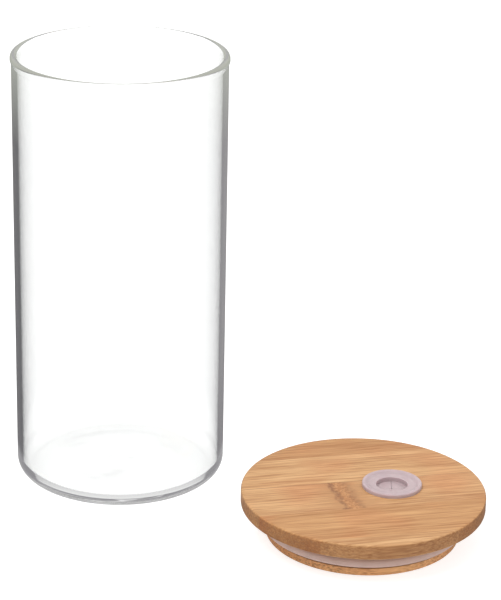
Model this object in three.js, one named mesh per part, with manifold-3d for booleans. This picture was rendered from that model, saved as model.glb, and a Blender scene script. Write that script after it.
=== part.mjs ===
// Glass canister with a bamboo lid: the lid lies on the table beside the open glass.
// Millimetres, +Z up. The origin is the centre of the glass's underside, +X runs along the lid's grain.
import * as THREE from "three";
import { mergeVertices } from "three/addons/utils/BufferGeometryUtils.js";
import Module from "manifold-3d";

const wasm = await Module();
wasm.setup();

// Glass
const glassRadius = 37.5;
const glassHeight = 156;
const wallThickness = 2;
const baseThickness = 3;
const baseCornerRadius = 5.5;
const floorCornerRadius = 4;
const rimFlare = 0.4;

// Lid: three plies of glued strips, turned round
const lidOverhang = 4.9;
const discThickness = 5.35;
const corePlyThickness = 5.25;
const plugPlyThickness = 5.25;
const discArris = 0.7;
const plugArris = 0.5;
const plugClearance = 1.9;
const grooveDepth = 2.6;
const flangeHeight = 2.7;
const stripWidth = 21;
const discEdgeStrip = 7.4;
const coreEdgeStrip = 6.5;
const plugEdgeStrip = 12;

// Seal ring, relaxed
const sealSqueeze = 0.2;
const sealPlay = 0.8;
const sealRibDrop = 0.2;
const sealRibDepth = 1.4;

// Straw grommet
const strawBoreRadius = 5.5;
const barrelWall = 1.8;
const barrelLength = 12;
const flangeWidth = 3.1;
const flangeRise = 1.4;
const boreLipRise = 0.5;
const membraneDrop = 1.6;
const membraneThickness = 0.6;
const grommetX = 10.5;
const grommetY = 1.1;

// Slit membrane
const flapCount = 4;
const slitAngle = THREE.MathUtils.degToRad(77.4);
const slitWidth = 0.3;
const flapBendWidth = 0.6;
const ventRadius = 0.6;

// Fits and layout on the table
const fitGap = 0.3;
const tableGap = 19.4;
const lidBearing = THREE.MathUtils.degToRad(-42.2);

// Facets
const turnSteps = 48;
const arcSteps = 5;

// What follows from them
const glassInnerRadius = glassRadius - wallThickness;
const discRadius = glassRadius + lidOverhang;
const flangeRadius = glassInnerRadius - plugClearance;
const grooveRadius = flangeRadius - grooveDepth;
const coreBottom = plugPlyThickness;
const discBottom = plugPlyThickness + corePlyThickness;
const discTop = discBottom + discThickness;
const barrelRadius = strawBoreRadius + barrelWall;
const strawHoleRadius = barrelRadius + fitGap;
const centreDistance = glassRadius + rimFlare + discRadius + tableGap;
const lidX = centreDistance * Math.cos(lidBearing);
const lidY = centreDistance * Math.sin(lidBearing);

function arc(centreX, centreY, radius, from, to, steps = arcSteps) {
  const points = [];
  for (let i = 0; i <= steps; i++) {
    const angle = from + ((to - from) * i) / steps;
    points.push(new THREE.Vector2(centreX + radius * Math.cos(angle), centreY + radius * Math.sin(angle)));
  }
  return points;
}

// A profile of (radius, height) points, turned about +Z.
function turned(profile) {
  return new THREE.LatheGeometry(profile, turnSteps).rotateX(Math.PI / 2);
}

function solidOf(geometry) {
  const bare = geometry.clone();
  bare.deleteAttribute("normal");
  bare.deleteAttribute("uv");
  const merged = mergeVertices(bare);
  const vertProperties = merged.attributes.position.array;
  return new wasm.Manifold(new wasm.Mesh({ numProp: 3, vertProperties, triVerts: merged.index.array }));
}

function geometryOf(solid) {
  const mesh = solid.getMesh();
  const geometry = new THREE.BufferGeometry();
  geometry.setAttribute("position", new THREE.BufferAttribute(mesh.vertProperties, 3));
  geometry.setIndex(new THREE.BufferAttribute(mesh.triVerts, 1));
  geometry.computeVertexNormals();
  return geometry;
}

function named(name, geometry, material) {
  const mesh = new THREE.Mesh(geometry, material);
  mesh.name = name;
  return mesh;
}

function glassMaterial() {
  return new THREE.MeshStandardMaterial({
    color: 0xf2f6f5,
    roughness: 0.03,
    metalness: 0,
    transparent: true,
    opacity: 0.35,
  });
}

// Bamboo strips differ a little in tone, as strips from different culms do.
function bambooMaterial(index) {
  const tones = [0xd8a870, 0xcf9c63, 0xdcb07a];
  return new THREE.MeshStandardMaterial({ color: tones[index % tones.length], roughness: 0.5, metalness: 0 });
}

function siliconeMaterial() {
  return new THREE.MeshStandardMaterial({ color: 0xd3c4cc, roughness: 0.4, metalness: 0 });
}

// Straight glass tube with a rounded base, an even floor and a fire-polished bead at the mouth.
function glassBody() {
  const beadRadius = (wallThickness + rimFlare) / 2;
  const beadCentre = glassInnerRadius + beadRadius;
  const beadStart = -Math.acos((glassRadius - beadCentre) / beadRadius);
  const profile = [
    new THREE.Vector2(0, 0),
    ...arc(glassRadius - baseCornerRadius, baseCornerRadius, baseCornerRadius, -Math.PI / 2, 0),
    ...arc(beadCentre, glassHeight - beadRadius, beadRadius, beadStart, Math.PI, 2 * arcSteps),
    ...arc(
      glassInnerRadius - floorCornerRadius,
      baseThickness + floorCornerRadius,
      floorCornerRadius,
      0,
      -Math.PI / 2,
    ),
    new THREE.Vector2(0, baseThickness),
  ];
  return named("glass_body", turned(profile), glassMaterial());
}

// The hole for the straw grommet, longer than the lid is thick.
function strawHole() {
  const cutter = new THREE.CylinderGeometry(strawHoleRadius, strawHoleRadius, 3 * discTop, turnSteps);
  cutter.rotateX(Math.PI / 2);
  cutter.translate(grommetX, grommetY, 0);
  return solidOf(cutter);
}

// One turned ply, sawn along the grain into strips from its -Y edge, with the straw hole through them.
function plyStrips(plyName, profile, edgeStrip, count) {
  const ply = solidOf(turned(profile)).subtract(strawHole());
  const reach = Math.max(...profile.map((point) => point.x));
  const strips = [];
  for (let i = 0; i < count; i++) {
    const from = i === 0 ? -2 * reach : edgeStrip - reach + (i - 1) * stripWidth;
    const to = i === count - 1 ? 2 * reach : edgeStrip - reach + i * stripWidth;
    const slab = new THREE.BoxGeometry(4 * reach, to - from, 4 * discTop);
    slab.translate(0, (from + to) / 2, 0);
    const strip = geometryOf(ply.intersect(solidOf(slab)));
    strips.push(named(`${plyName}_strip_${i + 1}`, strip, bambooMaterial(i)));
  }
  return strips;
}

// The wide disc that covers the rim.
function discStrips() {
  const profile = [
    new THREE.Vector2(0, discBottom),
    new THREE.Vector2(discRadius - discArris, discBottom),
    new THREE.Vector2(discRadius, discBottom + discArris),
    new THREE.Vector2(discRadius, discTop - discArris),
    new THREE.Vector2(discRadius - discArris, discTop),
    new THREE.Vector2(0, discTop),
  ];
  return plyStrips("lid_disc", profile, discEdgeStrip, 5);
}

// The middle ply, the floor of the seal's groove.
function coreStrips() {
  const profile = [
    new THREE.Vector2(0, coreBottom),
    new THREE.Vector2(grooveRadius, coreBottom),
    new THREE.Vector2(grooveRadius, discBottom),
    new THREE.Vector2(0, discBottom),
  ];
  return plyStrips("lid_core", profile, coreEdgeStrip, 4);
}

// The lowest ply: the flange that keeps the seal on, and the groove's lower part.
function plugStrips() {
  const profile = [
    new THREE.Vector2(0, 0),
    new THREE.Vector2(flangeRadius - plugArris, 0),
    new THREE.Vector2(flangeRadius, plugArris),
    new THREE.Vector2(flangeRadius, flangeHeight),
    new THREE.Vector2(grooveRadius, flangeHeight),
    new THREE.Vector2(grooveRadius, coreBottom),
    new THREE.Vector2(0, coreBottom),
  ];
  return plyStrips("lid_plug", profile, plugEdgeStrip, 4);
}

// Silicone ring in the groove, with two round ribs that press on the glass.
function lidSeal() {
  const inner = grooveRadius + fitGap;
  const bottom = flangeHeight + sealPlay;
  const top = discBottom - fitGap;
  const height = top - bottom;
  const lip = glassInnerRadius + sealSqueeze;
  const ribRadius = height / 4;
  const valley = lip - sealRibDepth;
  const reach = Math.min(ribRadius, sealRibDepth);
  const rib = (tip, middle) =>
    arc(0, 0, 1, -Math.PI / 2, Math.PI / 2, 2 * arcSteps).map(
      (point) => new THREE.Vector2(tip - reach + reach * point.x, middle + ribRadius * point.y * 0.8),
    );
  const profile = [
    new THREE.Vector2(inner, bottom),
    new THREE.Vector2(valley, bottom),
    ...rib(lip - sealRibDrop, bottom + ribRadius),
    ...rib(lip, top - ribRadius),
    new THREE.Vector2(valley, top),
    new THREE.Vector2(inner, top),
    new THREE.Vector2(inner, bottom),
  ];
  return named("lid_seal", turned(profile), siliconeMaterial());
}

// Silicone bush for a straw: a dished flange, a barrel, and a membrane whose middle square is the flaps.
function strawGrommet() {
  const flangeRadiusOuter = barrelRadius + flangeWidth;
  const rim = discTop + flangeRise;
  const boreEdge = discTop + boreLipRise;
  const membraneTop = boreEdge - membraneDrop;
  const membraneBottom = membraneTop - membraneThickness;
  const barrelEnd = discTop - barrelLength;
  const profile = [
    new THREE.Vector2(0, membraneBottom),
    new THREE.Vector2(strawBoreRadius, membraneBottom),
    new THREE.Vector2(strawBoreRadius, barrelEnd),
    new THREE.Vector2(barrelRadius, barrelEnd),
    new THREE.Vector2(barrelRadius, discTop),
    new THREE.Vector2(flangeRadiusOuter, discTop),
    ...arc(flangeRadiusOuter - flangeRise / 2, rim - flangeRise / 2, flangeRise / 2, 0, (3 * Math.PI) / 4),
    new THREE.Vector2(barrelRadius, boreEdge + (rim - boreEdge) / 4),
    new THREE.Vector2(strawBoreRadius, boreEdge),
    new THREE.Vector2(strawBoreRadius, membraneTop),
    new THREE.Vector2(0, membraneTop),
  ];
  const side = 2 * flapChord();
  const window = new THREE.BoxGeometry(side, side, 4 * discTop);
  window.rotateZ(slitAngle + Math.PI / 4);
  const grommet = named(
    "straw_grommet",
    geometryOf(solidOf(turned(profile)).subtract(solidOf(window))),
    siliconeMaterial(),
  );
  grommet.position.set(grommetX, grommetY, 0);
  return grommet;
}

// Distance from the bore's axis to the line that a flap bends about.
function flapChord() {
  return strawBoreRadius * Math.cos(Math.PI / flapCount);
}

// The triangular flaps between the arms of the cross-shaped slit, with a small vent where they meet.
// Each stands clear of the membrane by the strip of silicone that bends.
function slitFlaps() {
  const membraneBottom = discTop + boreLipRise - membraneDrop - membraneThickness;
  const edgeInset = slitWidth / Math.SQRT2;
  const root = flapChord() - flapBendWidth;
  const outline = new THREE.Shape([
    new THREE.Vector2(ventRadius, edgeInset - ventRadius),
    new THREE.Vector2(root, edgeInset - root),
    new THREE.Vector2(root, root - edgeInset),
    new THREE.Vector2(ventRadius, ventRadius - edgeInset),
  ]);
  const flaps = [];
  for (let i = 0; i < flapCount; i++) {
    const blade = new THREE.ExtrudeGeometry(outline, { depth: membraneThickness, bevelEnabled: false });
    const flap = named(`grommet_flap_${i + 1}`, blade, siliconeMaterial());
    flap.rotation.z = slitAngle + ((2 * i + 1) * Math.PI) / flapCount;
    flap.position.set(grommetX, grommetY, membraneBottom);
    flaps.push(flap);
  }
  return flaps;
}

function lid() {
  const group = new THREE.Group();
  group.add(...discStrips(), ...coreStrips(), ...plugStrips());
  group.add(lidSeal(), strawGrommet(), ...slitFlaps());
  group.position.set(lidX, lidY, 0);
  return group;
}

const canister = new THREE.Group();
canister.add(glassBody(), lid());

export default canister;
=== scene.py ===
import math

import bmesh
import bpy
from mathutils import Matrix, Vector


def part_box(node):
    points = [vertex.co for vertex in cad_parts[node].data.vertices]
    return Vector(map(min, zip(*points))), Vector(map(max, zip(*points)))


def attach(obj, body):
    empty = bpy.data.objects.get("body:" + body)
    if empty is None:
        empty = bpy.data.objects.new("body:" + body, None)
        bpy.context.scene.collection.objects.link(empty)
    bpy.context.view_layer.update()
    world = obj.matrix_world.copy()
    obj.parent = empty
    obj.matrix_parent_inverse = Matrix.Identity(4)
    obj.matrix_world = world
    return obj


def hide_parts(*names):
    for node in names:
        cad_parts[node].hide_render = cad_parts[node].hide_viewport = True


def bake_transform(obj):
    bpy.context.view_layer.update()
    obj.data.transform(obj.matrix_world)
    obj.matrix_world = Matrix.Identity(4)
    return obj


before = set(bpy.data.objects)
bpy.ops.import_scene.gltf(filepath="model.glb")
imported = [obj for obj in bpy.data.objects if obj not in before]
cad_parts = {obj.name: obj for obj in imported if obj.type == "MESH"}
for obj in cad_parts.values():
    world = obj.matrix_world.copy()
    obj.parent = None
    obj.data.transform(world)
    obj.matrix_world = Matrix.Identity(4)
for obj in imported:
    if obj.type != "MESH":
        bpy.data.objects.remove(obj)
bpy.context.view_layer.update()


# --- Table and studio light ---------------------------------------------------------------------
# A plain white table top under a soft white tent. Two round lamps shine through it, and the room
# behind the camera is dim, which is what polished glass mirrors at its edges.
TABLE_HALF_WIDTH = 3.0
TABLE_DROP = 0.0002
TABLE_GLOW = 0.72
TABLE_BOUNCE = 0.6
TABLE_THROUGH_GLASS = 0.74
TABLE_PAINT = (0.5, 0.5, 0.5, 1)
ROOM_LEFT = (0.095, 0.09, 0.104, 1)
ROOM_RIGHT = (0.26, 0.248, 0.268, 1)
ROOM_TURNED_TWICE = (0.47, 0.48, 0.45, 1)
ROOM_TURN_START = -0.06
ROOM_TURN_END = 0.1
ROOM_FAR = (0.46, 0.48, 0.43, 1)
FAR_START = 0.4
FAR_END = 0.6
FOOT_RADIUS = 0.036
FOOT_FADE = 0.012
TENT_TOP = (1.05, 1.05, 1.05, 1)
TENT_SIDE = (0.42, 0.42, 0.43, 1)
TENT_MIRRORED = (0.8, 0.8, 0.8, 1)
TENT_SEEN = (1.06, 1.06, 1.06, 1)
TENT_FOOT = 0.02
TENT_SHOULDER = 0.3
KEY_PLACE = (-0.55, -0.35, 1.3)
KEY_SIZE = 0.9
KEY_POWER = 10
FILL_PLACE = (1.0, -0.75, 0.8)
FILL_SIZE = 0.8
FILL_POWER = 2


def cleared_tree(owner):
    """The empty node tree of a material or of the world."""
    owner.use_nodes = True
    owner.node_tree.nodes.clear()
    return owner.node_tree


def add_node(tree, kind, operation=None, **sockets):
    """A node with its inputs set or linked, named in small letters or as input_0, input_1."""
    node = tree.nodes.new(kind)
    if operation:
        node.operation = operation
    for key, value in sockets.items():
        if key.startswith("input_"):
            socket = node.inputs[int(key[6:])]
        else:
            socket = next(s for s in node.inputs if s.name.lower().replace(" ", "_") == key)
        if isinstance(value, bpy.types.NodeSocket):
            tree.links.new(value, socket)
        else:
            socket.default_value = value
    return node


def blend_colours(tree, share, first, second, kind="MIX"):
    """The first colour with a share of the second laid over it."""
    mix = tree.nodes.new("ShaderNodeMix")
    mix.data_type = "RGBA"
    mix.blend_type = kind
    for name, value in (("Factor", share), ("A", first), ("B", second)):
        socket = next(s for s in mix.inputs if s.name == name and s.enabled)
        if isinstance(value, bpy.types.NodeSocket):
            tree.links.new(value, socket)
        else:
            socket.default_value = value
    return next(s for s in mix.outputs if s.enabled)


def mirrored(tree, rays):
    """1 for light that has been mirrored on its way, in a polished face or inside the glass."""
    turns = rays.outputs["Glossy Depth"]
    return add_node(tree, "ShaderNodeMath", "MINIMUM", input_0=turns, input_1=1.0).outputs[0]


def ranged(tree, value, first, last, low=0.0, high=1.0):
    """Goes from low to high as the value goes from first to last."""
    return add_node(tree, "ShaderNodeMapRange", value=value, from_min=first, from_max=last,
                    to_min=low, to_max=high).outputs[0]


def dim_room(tree, rays, place):
    """The room that polished glass mirrors: dark on the left, pale far off and after two turns."""
    across = add_node(tree, "ShaderNodeSeparateXYZ", vector=place).outputs["X"]
    rightwards = ranged(tree, across, ROOM_TURN_START, ROOM_TURN_END)
    once = blend_colours(tree, rightwards, ROOM_LEFT, ROOM_RIGHT)
    from_axis = add_node(tree, "ShaderNodeVectorMath", "LENGTH", input_0=place).outputs["Value"]
    once = blend_colours(tree, ranged(tree, from_axis, FAR_START, FAR_END), once, ROOM_FAR)
    turns = ranged(tree, rays.outputs["Glossy Depth"], 1.0, 2.0)
    return blend_colours(tree, turns, once, ROOM_TURNED_TWICE)


def table_material():
    """White paint that glows a little. Past the foot, mirrored light finds the dim room in it."""
    material = bpy.data.materials.new("table_white")
    tree = cleared_tree(material)
    rays = tree.nodes.new("ShaderNodeLightPath")
    place = tree.nodes.new("ShaderNodeTexCoord").outputs["Object"]
    paint = add_node(tree, "ShaderNodeBsdfDiffuse", color=TABLE_PAINT)
    passed = rays.outputs["Transmission Depth"]
    through = ranged(tree, passed, 0.0, 1.0, TABLE_GLOW, TABLE_THROUGH_GLASS)
    glow_level = ranged(tree, rays.outputs["Is Diffuse Ray"], 0.0, 1.0, through, TABLE_BOUNCE)
    glow = add_node(tree, "ShaderNodeEmission", strength=glow_level)
    lit = add_node(tree, "ShaderNodeAddShader", input_0=paint.outputs[0], input_1=glow.outputs[0])
    from_axis = add_node(tree, "ShaderNodeVectorMath", "LENGTH", input_0=place).outputs["Value"]
    beyond_foot = ranged(tree, from_axis, FOOT_RADIUS, FOOT_RADIUS + FOOT_FADE)
    room_colour = blend_colours(tree, beyond_foot, TENT_MIRRORED, dim_room(tree, rays, place))
    room = add_node(tree, "ShaderNodeEmission", color=room_colour)
    seen = add_node(tree, "ShaderNodeMixShader", input_0=mirrored(tree, rays),
                    input_1=lit.outputs[0], input_2=room.outputs[0])
    add_node(tree, "ShaderNodeOutputMaterial", surface=seen.outputs[0])
    return material


def soft_lamp(name, place, size, power):
    """A round area lamp that points at the object's foot."""
    light = bpy.data.lights.new(name, "AREA")
    light.shape = "DISK"
    light.size = size
    light.energy = power
    lamp = bpy.data.objects.new(name, light)
    bpy.context.scene.collection.objects.link(lamp)
    lamp.location = place
    lamp.rotation_euler = (-Vector(place)).to_track_quat("-Z", "Y").to_euler()
    lamp.visible_glossy = False
    lamp.visible_transmission = False


def finished(name, shape, materials, smooth_under=40):
    """The object of a finished bmesh. Edges that turn by less than smooth_under look smooth."""
    mesh = bpy.data.meshes.new(name)
    shape.to_mesh(mesh)
    shape.free()
    mesh.shade_smooth()
    mesh.set_sharp_from_angle(angle=math.radians(smooth_under))
    for material in materials:
        mesh.materials.append(material)
    piece = bpy.data.objects.new(name, mesh)
    bpy.context.scene.collection.objects.link(piece)
    return piece


table_top = bmesh.new()
bmesh.ops.create_grid(table_top, x_segments=1, y_segments=1, size=TABLE_HALF_WIDTH)
bmesh.ops.translate(table_top, verts=table_top.verts, vec=(0, 0, -TABLE_DROP))
finished("table_top", table_top, [table_material()])

soft_lamp("key_lamp", KEY_PLACE, KEY_SIZE, KEY_POWER)
soft_lamp("fill_lamp", FILL_PLACE, FILL_SIZE, FILL_POWER)

studio = bpy.data.worlds.new("studio")
bpy.context.scene.world = studio
studio_tree = cleared_tree(studio)
studio_rays = studio_tree.nodes.new("ShaderNodeLightPath")
studio_way = studio_tree.nodes.new("ShaderNodeTexCoord").outputs["Generated"]
tent_height = add_node(studio_tree, "ShaderNodeSeparateXYZ", vector=studio_way).outputs["Z"]
tent = blend_colours(studio_tree, tent_height, TENT_SIDE, TENT_TOP)
over_horizon = ranged(studio_tree, tent_height, TENT_FOOT, TENT_SHOULDER)
lit_studio = blend_colours(studio_tree, studio_rays.outputs["Is Diffuse Ray"], TENT_SEEN, tent)
room_below = dim_room(studio_tree, studio_rays, studio_way)
mirrored_studio = blend_colours(studio_tree, over_horizon, room_below, TENT_MIRRORED)
seen_studio = blend_colours(studio_tree, mirrored(studio_tree, studio_rays), lit_studio,
                            mirrored_studio)
surround = add_node(studio_tree, "ShaderNodeBackground", color=seen_studio)
add_node(studio_tree, "ShaderNodeOutputWorld", surface=surround.outputs[0])
bpy.context.scene.view_settings.view_transform = "Standard"


# --- Camera -------------------------------------------------------------------------------------
# A long lens above the table, turned a little off the lid's grain, that looks down on the lid.
CAMERA_PLACE = Vector((-0.1313, -0.7876, 0.3811))
CAMERA_HEADING = math.radians(12.80)
CAMERA_DIP = math.radians(21.57)
CAMERA_TILT = math.radians(1.19)
CAMERA_LENS = 144

camera = bpy.data.objects.new("camera", bpy.data.cameras.new("camera"))
bpy.context.scene.collection.objects.link(camera)
camera.data.lens = CAMERA_LENS
aim = (Matrix.Rotation(-CAMERA_HEADING, 4, "Z") @ Matrix.Rotation(math.pi / 2 - CAMERA_DIP, 4, "X")
       @ Matrix.Rotation(CAMERA_TILT, 4, "Z"))
camera.matrix_world = Matrix.Translation(CAMERA_PLACE) @ aim
bpy.context.scene.camera = camera


# --- Glass canister -----------------------------------------------------------------------------
# One piece of clear drawn borosilicate tube, its base blown and pressed flat, so the floor is thick
# and a little wavy, and its mouth melted round in a flame, which leaves a small bead.
GLASS_WALL = 0.002
GLASS_FLOOR = 0.003
GLASS_BASE_ROUND = 0.0055
GLASS_FLOOR_ROUND = 0.004
GLASS_FLARE = 0.0004
GLASS_PUSH_UP = 0.0005
GLASS_BEAD = 0.0018
GLASS_LOOP = 0.0004
GLASS_LIP_ROUND = 0.00118
GLASS_FLOOR_WAVES = (
    (0.7, -0.0003), (0.6, -0.0005), (0.5, -0.0004), (0.4, -0.0001),
    (0.3, 0.0001), (0.2, 0.0003), (0.1, 0.0004), (0, 0.0004),
)
GLASS_SWELL = 0.0003
GLASS_SWELL_REACH = 0.7
GLASS_TINT = (0.985, 0.99, 0.986, 1)
GLASS_IOR = 1.47
RIPPLE_SCALE = 45.0
RIPPLE_STRETCH = 0.08
RIPPLE_STRENGTH = 0.03
RIPPLE_RELIEF = 0.001
# Painted glow of the glass after many mirrorings inside it: dim and greyish at the foot, greenish
# at the mouth.
PAINTED_GLOW_AFTER = 3.0
PAINTED_GLOW_AT_FOOT = (0.14, 0.137, 0.145, 1)
PAINTED_GLOW_AT_MOUTH = (0.225, 0.23, 0.2, 1)
GLASS_STEPS = 256
GLASS_BASE_SEGMENTS = 16
GLASS_LIP_SEGMENTS = 8
GLASS_FLOOR_SEGMENTS = 12
ON_AXIS = 1e-7
SAME_POINT = 1e-6

glass_low, glass_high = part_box("glass_body")
glass_mouth_radius = (glass_high.x - glass_low.x) / 2
glass_radius = glass_mouth_radius - GLASS_FLARE
glass_height = glass_high.z
glass_inner = glass_radius - GLASS_WALL


def section(points):
    """A closed outline of (radius, height) points as one face in the XZ plane."""
    shape = bmesh.new()
    shape.faces.new([shape.verts.new((r, 0, z)) for r, z in points])
    return shape


def round_corner(shape, radius, height, by, segments=6):
    """Rounds the corner of a section that is nearest to (radius, height)."""
    corner = min(shape.verts, key=lambda v: (v.co - Vector((radius, 0, height))).length)
    bmesh.ops.bevel(shape, geom=[corner], offset=by, segments=segments, profile=0.5,
                    affect="VERTICES", material=-1)


def turn(shape, steps):
    """Turns a section about the vertical axis into a closed solid with its faces outwards."""
    on_axis = [e for e in shape.edges if all(abs(v.co.x) < ON_AXIS for v in e.verts)]
    bmesh.ops.delete(shape, geom=shape.faces[:], context="FACES_ONLY")
    bmesh.ops.delete(shape, geom=on_axis, context="EDGES")
    bmesh.ops.spin(shape, geom=shape.edges[:] + shape.verts[:], cent=(0, 0, 0), axis=(0, 0, 1),
                   angle=2 * math.pi, steps=steps, use_merge=True)
    bmesh.ops.remove_doubles(shape, verts=shape.verts, dist=SAME_POINT)
    bmesh.ops.recalc_face_normals(shape, faces=shape.faces)


def glass_material():
    """Clear, polished borosilicate. Where light has been mirrored in it more than three times, the
    glass glows a painted dim light, greyish at the foot and greenish at the mouth.
    """
    material = bpy.data.materials.new("clear_glass")
    tree = cleared_tree(material)
    place = add_node(tree, "ShaderNodeTexCoord").outputs["Object"]
    drawn = add_node(tree, "ShaderNodeMapping", vector=place, scale=(1, 1, RIPPLE_STRETCH))
    ripple = add_node(tree, "ShaderNodeTexNoise", vector=drawn.outputs[0], scale=RIPPLE_SCALE,
                      detail=1.0)
    wave = add_node(tree, "ShaderNodeBump", strength=RIPPLE_STRENGTH, distance=RIPPLE_RELIEF,
                    height=ripple.outputs[0])
    # Painted glow: after more than three mirrorings the glass emits a dim colour that goes from the
    # foot's to the mouth's.
    turns = add_node(tree, "ShaderNodeLightPath").outputs["Glossy Depth"]
    height = add_node(tree, "ShaderNodeSeparateXYZ", vector=place).outputs["Z"]
    climbed = ranged(tree, height, 0.0, glass_height)
    painted_glow = blend_colours(tree, climbed, PAINTED_GLOW_AT_FOOT, PAINTED_GLOW_AT_MOUTH)
    painted_glow_share = ranged(tree, turns, PAINTED_GLOW_AFTER, PAINTED_GLOW_AFTER + 1.0)
    painted_glow = blend_colours(tree, painted_glow_share, (0, 0, 0, 1), painted_glow)
    glass = add_node(tree, "ShaderNodeBsdfPrincipled", base_color=GLASS_TINT, roughness=0.0,
                     ior=GLASS_IOR, transmission_weight=1.0, emission_color=painted_glow,
                     emission_strength=1.0, normal=wave.outputs[0])
    material.cycles.emission_sampling = "NONE"
    add_node(tree, "ShaderNodeOutputMaterial", surface=glass.outputs[0])
    return material


glass_shape = section([
    (0, GLASS_PUSH_UP), (glass_inner * 0.35, GLASS_PUSH_UP * 0.7), (glass_inner * 0.65, 0),
    (glass_radius - GLASS_BASE_ROUND - GLASS_LOOP, 0), (glass_radius, 0),
    (glass_radius, GLASS_BASE_ROUND + GLASS_LOOP),
    (glass_radius, glass_height - GLASS_BEAD - 3 * GLASS_LOOP),
    (glass_radius, glass_height - GLASS_BEAD - 2 * GLASS_LOOP),
    (glass_mouth_radius, glass_height - GLASS_BEAD), (glass_mouth_radius, glass_height),
    (glass_inner, glass_height), (glass_inner, glass_height - GLASS_BEAD),
    (glass_inner, glass_height - GLASS_BEAD - GLASS_LOOP),
    (glass_inner, GLASS_FLOOR + GLASS_FLOOR_ROUND + GLASS_LOOP), (glass_inner, GLASS_FLOOR),
    (glass_inner - GLASS_FLOOR_ROUND - GLASS_LOOP, GLASS_FLOOR),
    *((glass_inner * share, GLASS_FLOOR + rise) for share, rise in GLASS_FLOOR_WAVES),
])
round_corner(glass_shape, glass_radius, 0, GLASS_BASE_ROUND, GLASS_BASE_SEGMENTS)
round_corner(glass_shape, glass_mouth_radius, glass_height, GLASS_LIP_ROUND, GLASS_LIP_SEGMENTS)
round_corner(glass_shape, glass_inner, glass_height, GLASS_LIP_ROUND, GLASS_LIP_SEGMENTS)
round_corner(glass_shape, glass_inner, GLASS_FLOOR, GLASS_FLOOR_ROUND, GLASS_FLOOR_SEGMENTS)
turn(glass_shape, GLASS_STEPS)
for vert in glass_shape.verts:
    across = vert.co.to_2d().length / glass_inner
    if GLASS_FLOOR / 2 < vert.co.z < GLASS_FLOOR * 1.5 and across < GLASS_SWELL_REACH:
        lean = math.atan2(vert.co.y, vert.co.x)
        swell = math.sin(3 * lean + 9 * across) * math.sin(math.pi * across / GLASS_SWELL_REACH)
        vert.co.z += GLASS_SWELL * swell
glass_canister = finished("glass_canister", glass_shape, [glass_material()])
glass_canister.visible_shadow = False
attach(glass_canister, "canister")
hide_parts("glass_body")


# --- Bamboo lid ---------------------------------------------------------------------------------
# Three layers of bamboo strips, glued edge to edge and on each other with the grain one way, then
# turned round: a wide disc, and a plug with a groove for the seal above a thin flange.
LID_STEPS = 256
DISC_ARRIS = 0.0007
PLUG_ARRIS = 0.0005
FLANGE_HEIGHT = 0.0027
ARRIS_SEGMENTS = 4
STRAW_HOLE_RADIUS = 0.0076
HOLE_DEPTH = 0.03
HOLE_STEPS = 96
ON_PLANE = 1e-7
GLUE_SOAK = 0.0006
GLUE_SHARE = 0.5
KNUCKLE_STRIP = "lid_disc_strip_3"
KNUCKLE_OFFSET = (-0.0077, 0.0, 0.0)
KNUCKLE_SLANT = 0.08
KNUCKLE_HALF_WIDTH = 0.0026
KNUCKLE_STAIN = 0.013
KNUCKLE_STAIN_TINT = (0.7, 0.52, 0.4, 1)
KNUCKLE_PALE = (0.56, 0.275, 0.11, 1)
KNUCKLE_DEEP = (0.41, 0.175, 0.064, 1)
KNUCKLE_DARK = (0.17, 0.062, 0.028, 1)
VESSEL_BROWN = (0.25, 0.12, 0.05, 1)
# Painted shade and painted light: the disc's sides are painted darker than its top, and the plug's
# and core's sides are painted lighter, as light falls on them.
DISC_SIDE_PAINTED_SHADE = (0.66, 0.56, 0.46, 1)
PLUG_SIDE_PAINTED_LIGHT = (1.2, 1.1, 1.0, 1)
STRIP_TONES = (
    ((0.70, 0.415, 0.195), (0.41, 0.193, 0.075)),
    ((0.61, 0.33, 0.14), (0.37, 0.165, 0.06)),
    ((0.69, 0.405, 0.19), (0.39, 0.182, 0.072)),
)
STRIP_SLIDE = (0.37, 0.053, 0.29)
STRIP_SLIDE_START = 0.11
BAMBOO_SMOOTH_UNDER = 30
REDDISH = (0.98, 0.86, 0.82, 1)
REDDISH_PATCH_SCALE = 38.0
REDDISH_FROM = 0.5
REDDISH_FULL = 0.7
SWAY_SCALE = 35.0
SWAY_STRETCH = 0.25
GRAIN_SWAY = 0.0016
FIBRE_SCALE = 2600.0
DASH_SCALE = 1500.0
BAND_SCALE = 220.0
VESSEL_SCALE = 1250.0
FIBRE_STRETCH = 0.03
BAND_STRETCH = 0.04
DASH_SHARE = 1.3
BAND_SHARE = 0.6
TONE_DROP = 0.95
TONE_DARK = 0.2
TONE_LIGHT = 0.8
VESSELS_ON_FACE = 0.1
VESSEL_EDGE = 0.5
VESSEL_CORE = 0.15
VESSEL_SINK = 0.3
WANDER_SCALE = 330.0
KNUCKLE_WANDER = 0.004
KNUCKLE_COVER = 0.8
KNUCKLE_SOLID = 0.6 * KNUCKLE_HALF_WIDTH
KNUCKLE_FADED = 1.1 * KNUCKLE_HALF_WIDTH
KNUCKLE_LEFT_RIM = 0.0016
KNUCKLE_RIGHT_RIM = 0.0026
RIGHT_RIM_SHARE = 0.55
RIM_DENT = 0.6
MOTTLE_SCALE = 850.0
PORE_SCALE = 640.0
PORE_SHARE = 0.45
FACE_RISE = 0.85
SIDE_RISE = 0.3
DARK_ROUGHNESS = 0.58
LIGHT_ROUGHNESS = 0.42
BAMBOO_SHINE = 0.4
BAMBOO_BUMP = 0.16
BAMBOO_RELIEF = 0.00015

grommet_low, grommet_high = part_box("straw_grommet")
grommet_axis = (grommet_low + grommet_high) / 2


def ply_box(prefix):
    """The lowest and highest corner of all strips of a ply, and their names from front to back."""
    names = sorted(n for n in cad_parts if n.startswith(prefix))
    boxes = [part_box(n) for n in names]
    low = Vector([min(b[0][i] for b in boxes) for i in range(3)])
    high = Vector([max(b[1][i] for b in boxes) for i in range(3)])
    return low, high, names


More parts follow.
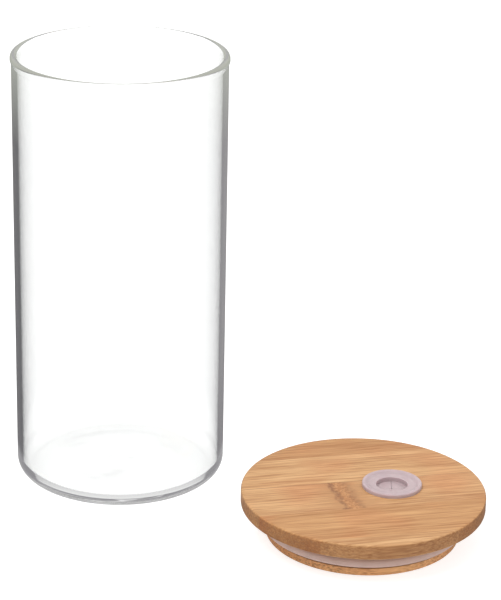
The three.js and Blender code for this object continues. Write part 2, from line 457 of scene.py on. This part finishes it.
def worked(shape, tool, operation):
    """Cuts or joins one closed solid with another, which is used up."""
    solids = []
    for name, part in (("blank", shape), ("tool", tool)):
        solid = bpy.data.objects.new(name, bpy.data.meshes.new(name))
        part.to_mesh(solid.data)
        bpy.context.scene.collection.objects.link(solid)
        solids.append(solid)
    tool.free()
    work = solids[0].modifiers.new("work", "BOOLEAN")
    work.object = solids[1]
    work.operation = operation
    work.solver = "EXACT"
    shape.clear()
    shape.from_object(solids[0], bpy.context.evaluated_depsgraph_get())
    for solid in solids:
        bpy.data.objects.remove(solid)


def cut_hole(shape, radius, centre, height):
    """Cuts a round vertical hole right through a solid."""
    drill = bmesh.new()
    bmesh.ops.create_cone(drill, cap_ends=True, segments=HOLE_STEPS, radius1=radius, radius2=radius,
                          depth=height)
    bmesh.ops.translate(drill, verts=drill.verts, vec=centre)
    worked(shape, drill, "DIFFERENCE")


def saw(shape, low_y, high_y):
    """A copy of a solid, sawn to what lies between two planes along the grain, and closed again."""
    strip = shape.copy()
    for place, side in ((low_y, -1), (high_y, 1)):
        bmesh.ops.bisect_plane(strip, geom=strip.verts[:] + strip.edges[:] + strip.faces[:],
                               dist=ON_PLANE, plane_co=(0, place, 0), plane_no=(0, side, 0),
                               clear_outer=True)
        open_edges = [e for e in strip.edges if e.is_boundary]
        bmesh.ops.holes_fill(strip, edges=open_edges, sides=0)
    return strip


def bamboo_grain_group():
    """Fibres along X. Tone is their lightness, Bundles marks dark vessels, Relief is the height."""
    group = bpy.data.node_groups.new("bamboo_grain", "ShaderNodeTree")
    group.interface.new_socket("Place", in_out="INPUT", socket_type="NodeSocketVector")
    for name in ("Tone", "Bundles", "Relief"):
        group.interface.new_socket(name, in_out="OUTPUT", socket_type="NodeSocketFloat")
    start = group.nodes.new("NodeGroupInput").outputs["Place"]
    end = group.nodes.new("NodeGroupOutput")

    def stretched(place, along):
        return add_node(group, "ShaderNodeMapping", vector=place, scale=(along, 1, 1)).outputs[0]

    def noise(place, scale, detail, roughness=0.55):
        return add_node(group, "ShaderNodeTexNoise", vector=place, scale=scale, detail=detail,
                        roughness=roughness).outputs[0]

    def maths(operation, *values):
        inputs = {f"input_{i}": value for i, value in enumerate(values)}
        return add_node(group, "ShaderNodeMath", operation, **inputs).outputs[0]

    drift = noise(stretched(start, SWAY_STRETCH), SWAY_SCALE, 1.0)
    sideways = maths("MULTIPLY_ADD", drift, GRAIN_SWAY, -GRAIN_SWAY / 2)
    sway = add_node(group, "ShaderNodeCombineXYZ", y=sideways)
    swayed = add_node(group, "ShaderNodeVectorMath", "ADD", input_0=start, input_1=sway.outputs[0])
    bent = swayed.outputs[0]
    fibres = noise(stretched(bent, FIBRE_STRETCH), FIBRE_SCALE, 2.0)
    dashes = noise(stretched(bent, FIBRE_STRETCH), DASH_SCALE, 3.0, 0.7)
    bands = noise(stretched(bent, BAND_STRETCH), BAND_SCALE, 2.0)
    vessels = add_node(group, "ShaderNodeTexVoronoi", vector=stretched(bent, FIBRE_STRETCH),
                       scale=VESSEL_SCALE)
    spots = ranged(group, vessels.outputs["Distance"], VESSEL_EDGE, VESSEL_CORE)
    coarse = maths("MULTIPLY_ADD", dashes, DASH_SHARE, maths("MULTIPLY", bands, BAND_SHARE))
    tone = maths("MULTIPLY_ADD", fibres, 1.0, coarse)
    group.links.new(maths("SUBTRACT", tone, TONE_DROP), end.inputs["Tone"])
    group.links.new(spots, end.inputs["Bundles"])
    sunk = maths("SUBTRACT", dashes, maths("MULTIPLY", spots, VESSEL_SINK))
    group.links.new(sunk, end.inputs["Relief"])
    return group


bamboo_grain = bamboo_grain_group()
disc_low, disc_high = ply_box("lid_disc_strip")[:2]
KNUCKLE_PLACE = (disc_low + disc_high) / 2 + Vector(KNUCKLE_OFFSET)


def knuckle_masks(tree, place, relief):
    """The joint of the cane: its band, that band's mottling, its rims, its pores and its stain."""
    away = add_node(tree, "ShaderNodeVectorMath", "SUBTRACT", input_0=place,
                    input_1=KNUCKLE_PLACE).outputs[0]
    turned = add_node(tree, "ShaderNodeSeparateXYZ", vector=away)
    wobble = add_node(tree, "ShaderNodeTexNoise", vector=place, scale=WANDER_SCALE,
                      detail=2.0).outputs[0]

    def maths(operation, *values):
        inputs = {f"input_{i}": value for i, value in enumerate(values)}
        return add_node(tree, "ShaderNodeMath", operation, **inputs).outputs[0]

    def falling(value, near, far):
        node = add_node(tree, "ShaderNodeMapRange", value=value)
        node.interpolation_type = "SMOOTHSTEP"
        node.inputs["From Min"].default_value = far
        node.inputs["From Max"].default_value = near
        return node.outputs[0]

    slanted = maths("MULTIPLY_ADD", turned.outputs["Y"], KNUCKLE_SLANT, turned.outputs["X"])
    wander = maths("MULTIPLY_ADD", wobble, KNUCKLE_WANDER, -KNUCKLE_WANDER / 2)
    along = maths("ADD", slanted, wander)
    distance = maths("ABSOLUTE", along)
    band = falling(distance, KNUCKLE_SOLID, KNUCKLE_FADED)
    from_left = maths("ABSOLUTE", maths("ADD", along, KNUCKLE_HALF_WIDTH))
    from_right = maths("ABSOLUTE", maths("SUBTRACT", along, KNUCKLE_HALF_WIDTH))
    left_rim = falling(from_left, 0.0, KNUCKLE_LEFT_RIM)
    right_rim = falling(from_right, 0.0, KNUCKLE_RIGHT_RIM)
    patches = add_node(tree, "ShaderNodeTexNoise", vector=place, scale=MOTTLE_SCALE,
                       detail=3.0).outputs[0]
    rims = maths("MAXIMUM", left_rim, maths("MULTIPLY", right_rim, RIGHT_RIM_SHARE))
    rim = maths("MULTIPLY", rims, maths("MULTIPLY_ADD", falling(patches, 0.56, 0.42), 0.35, 0.3))
    cells = add_node(tree, "ShaderNodeTexVoronoi", vector=place, scale=PORE_SCALE, randomness=1.0)
    cells.voronoi_dimensions = "2D"
    pores = maths("MULTIPLY", falling(cells.outputs["Distance"], 0.08, 0.24),
                  maths("MULTIPLY", band, PORE_SHARE))
    stain = maths("MULTIPLY", falling(distance, 0.0, KNUCKLE_STAIN), falling(relief, 0.75, 0.35))
    mottle = falling(maths("ADD", patches, maths("MULTIPLY", relief, 0.15)), 0.72, 0.42)
    return maths("MULTIPLY", band, KNUCKLE_COVER), mottle, rim, pores, stain


def bamboo_material(name, slide, tones, painted_side_shading, knuckle=False):
    """Oiled bamboo between two tones. Slide moves the pattern, so that each strip has its own. Side
    faces take a painted shading: painted shade on the disc, painted light on the plug and core.
    """
    material = bpy.data.materials.new(name)
    tree = cleared_tree(material)
    coordinates = tree.nodes.new("ShaderNodeTexCoord")
    place = coordinates.outputs["Object"]
    shifted = add_node(tree, "ShaderNodeMapping", vector=place, location=slide)
    grain = tree.nodes.new("ShaderNodeGroup")
    grain.node_tree = bamboo_grain
    tree.links.new(shifted.outputs[0], grain.inputs["Place"])
    wood = add_node(tree, "ShaderNodeValToRGB", fac=grain.outputs["Tone"])
    ramp = wood.color_ramp.elements
    ramp[0].position, ramp[0].color = TONE_DARK, (*tones[1], 1)
    ramp[1].position, ramp[1].color = TONE_LIGHT, (*tones[0], 1)
    facing = add_node(tree, "ShaderNodeSeparateXYZ", vector=coordinates.outputs["Normal"])
    rise = add_node(tree, "ShaderNodeMath", "ABSOLUTE", input_0=facing.outputs["Z"]).outputs[0]
    side = ranged(tree, rise, FACE_RISE, SIDE_RISE)
    sawn = add_node(tree, "ShaderNodeMath", "ABSOLUTE", input_0=facing.outputs["X"]).outputs[0]
    end_grain = add_node(tree, "ShaderNodeMath", "MULTIPLY", input_0=sawn, input_1=side).outputs[0]
    # Painted shade and light: side faces are multiplied by the painted side shading, darker on the
    # disc and lighter on the plug and core.
    colour = blend_colours(tree, side, wood.outputs["Color"],
                           blend_colours(tree, 1.0, wood.outputs["Color"], painted_side_shading, "MULTIPLY"))
    vessel_share = add_node(tree, "ShaderNodeMath", "MULTIPLY_ADD", input_0=end_grain, input_1=1.0,
                            input_2=VESSELS_ON_FACE)
    speck = add_node(tree, "ShaderNodeMath", "MULTIPLY", input_0=vessel_share.outputs[0],
                     input_1=grain.outputs["Bundles"]).outputs[0]
    colour = blend_colours(tree, speck, colour, VESSEL_BROWN)
    patch = add_node(tree, "ShaderNodeTexNoise", vector=shifted.outputs[0],
                     scale=REDDISH_PATCH_SCALE, detail=1.0).outputs[0]
    colour = blend_colours(tree, ranged(tree, patch, REDDISH_FROM, REDDISH_FULL), colour,
                           blend_colours(tree, 1.0, colour, REDDISH, "MULTIPLY"))
    height = grain.outputs["Relief"]
    if knuckle:
        band, mottle, rim, pores, stain = knuckle_masks(tree, place, grain.outputs["Tone"])
        colour = blend_colours(tree, stain, colour, KNUCKLE_STAIN_TINT, "MULTIPLY")
        mottled = blend_colours(tree, mottle, KNUCKLE_PALE, KNUCKLE_DEEP)
        colour = blend_colours(tree, band, colour, mottled)
        colour = blend_colours(tree, rim, colour, KNUCKLE_DARK)
        colour = blend_colours(tree, pores, colour, KNUCKLE_DARK)
        across = add_node(tree, "ShaderNodeSeparateXYZ", vector=place).outputs["Y"]
        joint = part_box(KNUCKLE_STRIP)[1].y
        glue = ranged(tree, across, joint - GLUE_SOAK, joint - GLUE_SOAK / 3, 0.0, GLUE_SHARE)
        colour = blend_colours(tree, glue, colour, VESSEL_BROWN)
        dents = add_node(tree, "ShaderNodeMath", "MULTIPLY_ADD", input_0=rim, input_1=-RIM_DENT,
                         input_2=height)
        height = add_node(tree, "ShaderNodeMath", "SUBTRACT", input_0=dents.outputs[0],
                          input_1=pores).outputs[0]
    bump = add_node(tree, "ShaderNodeBump", strength=BAMBOO_BUMP, distance=BAMBOO_RELIEF,
                    height=height)
    gloss = ranged(tree, grain.outputs["Tone"], 0.0, 1.0, DARK_ROUGHNESS, LIGHT_ROUGHNESS)
    board = add_node(tree, "ShaderNodeBsdfPrincipled", base_color=colour, roughness=gloss,
                     specular_ior_level=BAMBOO_SHINE, normal=bump.outputs[0])
    add_node(tree, "ShaderNodeOutputMaterial", surface=board.outputs[0])
    return material


def lay_strips(shape, low, names, painted_side_shading):
    """Saws a ply into its strips and puts each in the place of its CAD node."""
    for index, name in enumerate(names):
        strip_low, strip_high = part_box(name)
        tones = STRIP_TONES[index % len(STRIP_TONES)]
        slide = (STRIP_SLIDE[0] * index + STRIP_SLIDE_START, STRIP_SLIDE[1] * index,
                 STRIP_SLIDE[2] * index + low.z)
        material = bamboo_material(f"bamboo_{name}", slide, tones, painted_side_shading,
                                   name == KNUCKLE_STRIP)
        strip = finished(f"{name}_bamboo", saw(shape, strip_low.y, strip_high.y), [material],
                         BAMBOO_SMOOTH_UNDER)
        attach(strip, "lid")
        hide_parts(name)
    shape.free()


def turned_ply(prefix, painted_side_shading, outline, arrises):
    """Turns a ply's outline, rounds given corners, drills the straw hole and lays its strips."""
    low, high, names = ply_box(prefix)
    centre = Vector(((low.x + high.x) / 2, (low.y + high.y) / 2, 0))
    shape = section(outline(low, high))
    for radius, height, by in arrises(low, high):
        round_corner(shape, radius, height, by, ARRIS_SEGMENTS)
    turn(shape, LID_STEPS)
    bmesh.ops.translate(shape, verts=shape.verts, vec=centre)
    hole_place = (grommet_axis.x, grommet_axis.y, (low.z + high.z) / 2)
    cut_hole(shape, STRAW_HOLE_RADIUS, hole_place, HOLE_DEPTH)
    lay_strips(shape, low, names, painted_side_shading)


def ply_radius(low, high):
    """Half the width of a ply along the grain."""
    return (high.x - low.x) / 2


groove_radius = ply_radius(*ply_box("lid_core_strip")[:2])

turned_ply(
    "lid_disc_strip", DISC_SIDE_PAINTED_SHADE,
    lambda low, high: [(0, low.z), (ply_radius(low, high) - 2 * DISC_ARRIS, low.z),
                       (ply_radius(low, high), low.z), (ply_radius(low, high), high.z),
                       (ply_radius(low, high) - 2 * DISC_ARRIS, high.z), (0, high.z)],
    lambda low, high: [(ply_radius(low, high), low.z, DISC_ARRIS),
                       (ply_radius(low, high), high.z, DISC_ARRIS)],
)
turned_ply(
    "lid_core_strip", PLUG_SIDE_PAINTED_LIGHT,
    lambda low, high: [(0, low.z), (groove_radius, low.z), (groove_radius, high.z), (0, high.z)],
    lambda low, high: [],
)
turned_ply(
    "lid_plug_strip", PLUG_SIDE_PAINTED_LIGHT,
    lambda low, high: [(0, low.z), (ply_radius(low, high), low.z),
                       (ply_radius(low, high), FLANGE_HEIGHT), (groove_radius, FLANGE_HEIGHT),
                       (groove_radius, high.z), (0, high.z)],
    lambda low, high: [(ply_radius(low, high), low.z, PLUG_ARRIS)],
)


# --- Seal ring ----------------------------------------------------------------------------------
# A moulded ring of milky silicone, stretched over the flange into its groove. Two round ribs press
# on the glass when the lid is on.
SEAL_RIB_DROP = 0.0002
SEAL_RIB_DEPTH = 0.0014
SEAL_RIB_ROUND = 0.0009
SEAL_CLEARANCE = 0.0003
SEAL_STEPS = 256
SEAL_SMOOTH_UNDER = 60
SEAL_COLOUR = (0.56, 0.41, 0.36)
SEAL_DEEP_COLOUR = (0.52, 0.38, 0.33)
CLOUD_SCALE = 260.0
SKIN_SCALE = 2600.0
SKIN_BUMP = 0.12
SKIN_RELIEF = 0.0001
SILICONE_ROUGHNESS = 0.38
SILICONE_IOR = 1.41
SILICONE_MILKINESS = 0.35
SILICONE_DEPTH = 0.002
SILICONE_SCATTER = (1.0, 0.8, 0.85)

seal_low, seal_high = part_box("lid_seal")
seal_centre = (seal_low + seal_high) / 2
seal_lip = (seal_high.x - seal_low.x) / 2


def silicone_material(name, colour, depth_colour):
    """Milky silicone: soft light goes a little way in, and the surface is satin."""
    material = bpy.data.materials.new(name)
    tree = cleared_tree(material)
    place = add_node(tree, "ShaderNodeTexCoord").outputs["Object"]
    cloud = add_node(tree, "ShaderNodeTexNoise", vector=place, scale=CLOUD_SCALE, detail=2.0)
    milk = add_node(tree, "ShaderNodeValToRGB", fac=cloud.outputs[0])
    milk.color_ramp.elements[0].position = 0.35
    milk.color_ramp.elements[0].color = (*depth_colour, 1)
    milk.color_ramp.elements[1].position = 0.65
    milk.color_ramp.elements[1].color = (*colour, 1)
    skin = add_node(tree, "ShaderNodeTexNoise", vector=place, scale=SKIN_SCALE, detail=2.0)
    bump = add_node(tree, "ShaderNodeBump", strength=SKIN_BUMP, distance=SKIN_RELIEF,
                    height=skin.outputs[0])
    rubber = add_node(tree, "ShaderNodeBsdfPrincipled", base_color=milk.outputs["Color"],
                      roughness=SILICONE_ROUGHNESS, ior=SILICONE_IOR,
                      subsurface_weight=SILICONE_MILKINESS, subsurface_scale=SILICONE_DEPTH,
                      subsurface_radius=SILICONE_SCATTER, normal=bump.outputs[0])
    add_node(tree, "ShaderNodeOutputMaterial", surface=rubber.outputs[0])
    return material


seal_inner = groove_radius + SEAL_CLEARANCE
seal_valley = seal_lip - SEAL_RIB_DEPTH
seal_quarter = (seal_high.z - seal_low.z) / 4
seal_shape = section([
    (seal_inner, seal_low.z), (seal_valley, seal_low.z),
    (seal_lip - SEAL_RIB_DROP, seal_low.z + 0.3 * seal_quarter),
    (seal_lip - SEAL_RIB_DROP, seal_low.z + 1.7 * seal_quarter),
    (seal_valley, seal_low.z + 2 * seal_quarter),
    (seal_lip, seal_low.z + 2.3 * seal_quarter), (seal_lip, seal_low.z + 3.7 * seal_quarter),
    (seal_valley, seal_high.z), (seal_inner, seal_high.z),
])
for seal_height, seal_reach in ((0.3, seal_lip - SEAL_RIB_DROP), (1.7, seal_lip - SEAL_RIB_DROP),
                                (2.3, seal_lip), (3.7, seal_lip)):
    round_corner(seal_shape, seal_reach, seal_low.z + seal_height * seal_quarter,
                 SEAL_RIB_ROUND, 5)
turn(seal_shape, SEAL_STEPS)
bmesh.ops.translate(seal_shape, verts=seal_shape.verts, vec=(seal_centre.x, seal_centre.y, 0))
seal_silicone = silicone_material("seal_silicone", SEAL_COLOUR, SEAL_DEEP_COLOUR)
seal_ring = finished("seal_ring", seal_shape, [seal_silicone], SEAL_SMOOTH_UNDER)
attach(seal_ring, "lid")
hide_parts("lid_seal")


# --- Straw grommet ------------------------------------------------------------------------------
# A moulded silicone bush pressed into the lid: a dished flange with a raised rim, a barrel, and a
# thin membrane in its bore that is slit crosswise for a straw.
BORE_RADIUS = 0.0055
BARREL_RADIUS = 0.0073
RIM_RISE = 0.0014
RIM_WIDTH = 0.0011
RIM_OUTER_ROUND = 0.48 * RIM_WIDTH
RIM_INNER_ROUND = 0.45 * RIM_WIDTH
DISH_RISE = 0.0006
BORE_LIP_RISE = 0.0005
BORE_LIP_SLOPE = 0.0004
MEMBRANE_DROP = 0.0016
MEMBRANE_THICKNESS = 0.0006
MEMBRANE_ROOT = 0.0004
SLIT_ANGLE = math.radians(77.4)
FLAP_COUNT = 4
GROMMET_STEPS = 128
GROMMET_SMOOTH_UNDER = 50
GROMMET_COLOUR = (0.50, 0.395, 0.405)
GROMMET_DEEP_COLOUR = (0.47, 0.365, 0.38)

lid_top = disc_high.z
grommet_reach = (grommet_high.x - grommet_low.x) / 2
membrane_top = lid_top + BORE_LIP_RISE - MEMBRANE_DROP
flap_chord = BORE_RADIUS * math.cos(math.pi / FLAP_COUNT)
grommet_silicone = silicone_material("grommet_silicone", GROMMET_COLOUR, GROMMET_DEEP_COLOUR)


def membrane_sheet():
    """The whole membrane as one flat round face, a little wider than the bore."""
    sheet = bmesh.new()
    bmesh.ops.create_circle(sheet, cap_ends=True, segments=GROMMET_STEPS,
                            radius=BORE_RADIUS + MEMBRANE_ROOT)
    return sheet


def split(sheet, point, outward, drop_outside=False):
    """Splits a sheet along an upright plane, given by a point on it and its outward way."""
    bmesh.ops.bisect_plane(sheet, geom=sheet.verts[:] + sheet.edges[:] + sheet.faces[:],
                           dist=ON_PLANE, plane_co=point, plane_no=outward,
                           clear_outer=drop_outside)


def thicken(sheet):
    """Gives a flat sheet the membrane's thickness and puts it at the membrane's height."""
    walls = bmesh.ops.extrude_face_region(sheet, geom=sheet.faces[:])["geom"]
    bmesh.ops.translate(sheet, verts=[v for v in walls if isinstance(v, bmesh.types.BMVert)],
                        vec=(0, 0, -MEMBRANE_THICKNESS))
    bmesh.ops.recalc_face_normals(sheet, faces=sheet.faces)
    bmesh.ops.translate(sheet, verts=sheet.verts, vec=(0, 0, membrane_top))


grommet_shape = section([
    (BORE_RADIUS, grommet_low.z),
    (BARREL_RADIUS, grommet_low.z), (BARREL_RADIUS, lid_top), (grommet_reach, lid_top),
    (grommet_reach, lid_top + RIM_RISE), (grommet_reach - RIM_WIDTH, lid_top + RIM_RISE),
    (grommet_reach - 2 * RIM_WIDTH, lid_top + DISH_RISE),
    (BORE_RADIUS + BORE_LIP_SLOPE, lid_top + DISH_RISE),
    (BORE_RADIUS, lid_top + BORE_LIP_RISE),
])
round_corner(grommet_shape, grommet_reach, lid_top + RIM_RISE, RIM_OUTER_ROUND)
round_corner(grommet_shape, grommet_reach - RIM_WIDTH, lid_top + RIM_RISE, RIM_INNER_ROUND)
round_corner(grommet_shape, grommet_reach - 2 * RIM_WIDTH, lid_top + DISH_RISE, RIM_INNER_ROUND)
turn(grommet_shape, GROMMET_STEPS)
membrane_rest = membrane_sheet()
for side in range(FLAP_COUNT):
    way = SLIT_ANGLE + (side + 0.5) * 2 * math.pi / FLAP_COUNT
    outward = Vector((math.cos(way), math.sin(way), 0))
    split(membrane_rest, outward * flap_chord, outward)
opening = min(membrane_rest.faces, key=lambda face: face.calc_center_median().length)
bmesh.ops.delete(membrane_rest, geom=[opening], context="FACES")
thicken(membrane_rest)
worked(grommet_shape, membrane_rest, "UNION")
bmesh.ops.translate(grommet_shape, verts=grommet_shape.verts,
                    vec=(grommet_axis.x, grommet_axis.y, 0))
grommet = finished("straw_grommet_bush", grommet_shape, [grommet_silicone], GROMMET_SMOOTH_UNDER)
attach(grommet, "grommet")
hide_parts("straw_grommet")


# --- Membrane flaps -----------------------------------------------------------------------------
# The membrane in the grommet's bore is moulded with it and slit crosswise. Each quarter is its own
# flap, cut with close loops along its root, where the real flap bends when a straw pushes it down.
FLAP_BEND_HALF = 0.0003
FLAP_BEND_STEPS = 8
SLIT_HALVES = (0.00006, 0.00003, 0.00003, 0.00003)
VENT_RADIUS = 0.0003

for flap_index in range(FLAP_COUNT):
    first = SLIT_ANGLE + flap_index * 2 * math.pi / FLAP_COUNT
    last = first + 2 * math.pi / FLAP_COUNT
    flap_way = Vector((math.cos((first + last) / 2), math.sin((first + last) / 2), 0))
    first_side = Vector((math.sin(first), -math.cos(first), 0))
    last_side = Vector((-math.sin(last), math.cos(last), 0))
    flap_shape = membrane_sheet()
    split(flap_shape, -first_side * SLIT_HALVES[flap_index], first_side, True)
    split(flap_shape, -last_side * SLIT_HALVES[(flap_index + 1) % FLAP_COUNT], last_side, True)
    split(flap_shape, flap_way * flap_chord, flap_way, True)
    split(flap_shape, flap_way * VENT_RADIUS, -flap_way, True)
    thicken(flap_shape)
    for step in range(1, FLAP_BEND_STEPS):
        reach = flap_chord - 2 * FLAP_BEND_HALF * step / FLAP_BEND_STEPS
        split(flap_shape, flap_way * reach, flap_way)
    bmesh.ops.translate(flap_shape, verts=flap_shape.verts,
                        vec=(grommet_axis.x, grommet_axis.y, 0))
    flap_body = f"flap_{flap_index + 1}"
    flap = finished(f"membrane_{flap_body}", flap_shape, [grommet_silicone])
    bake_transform(flap)
    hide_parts(f"grommet_{flap_body}")
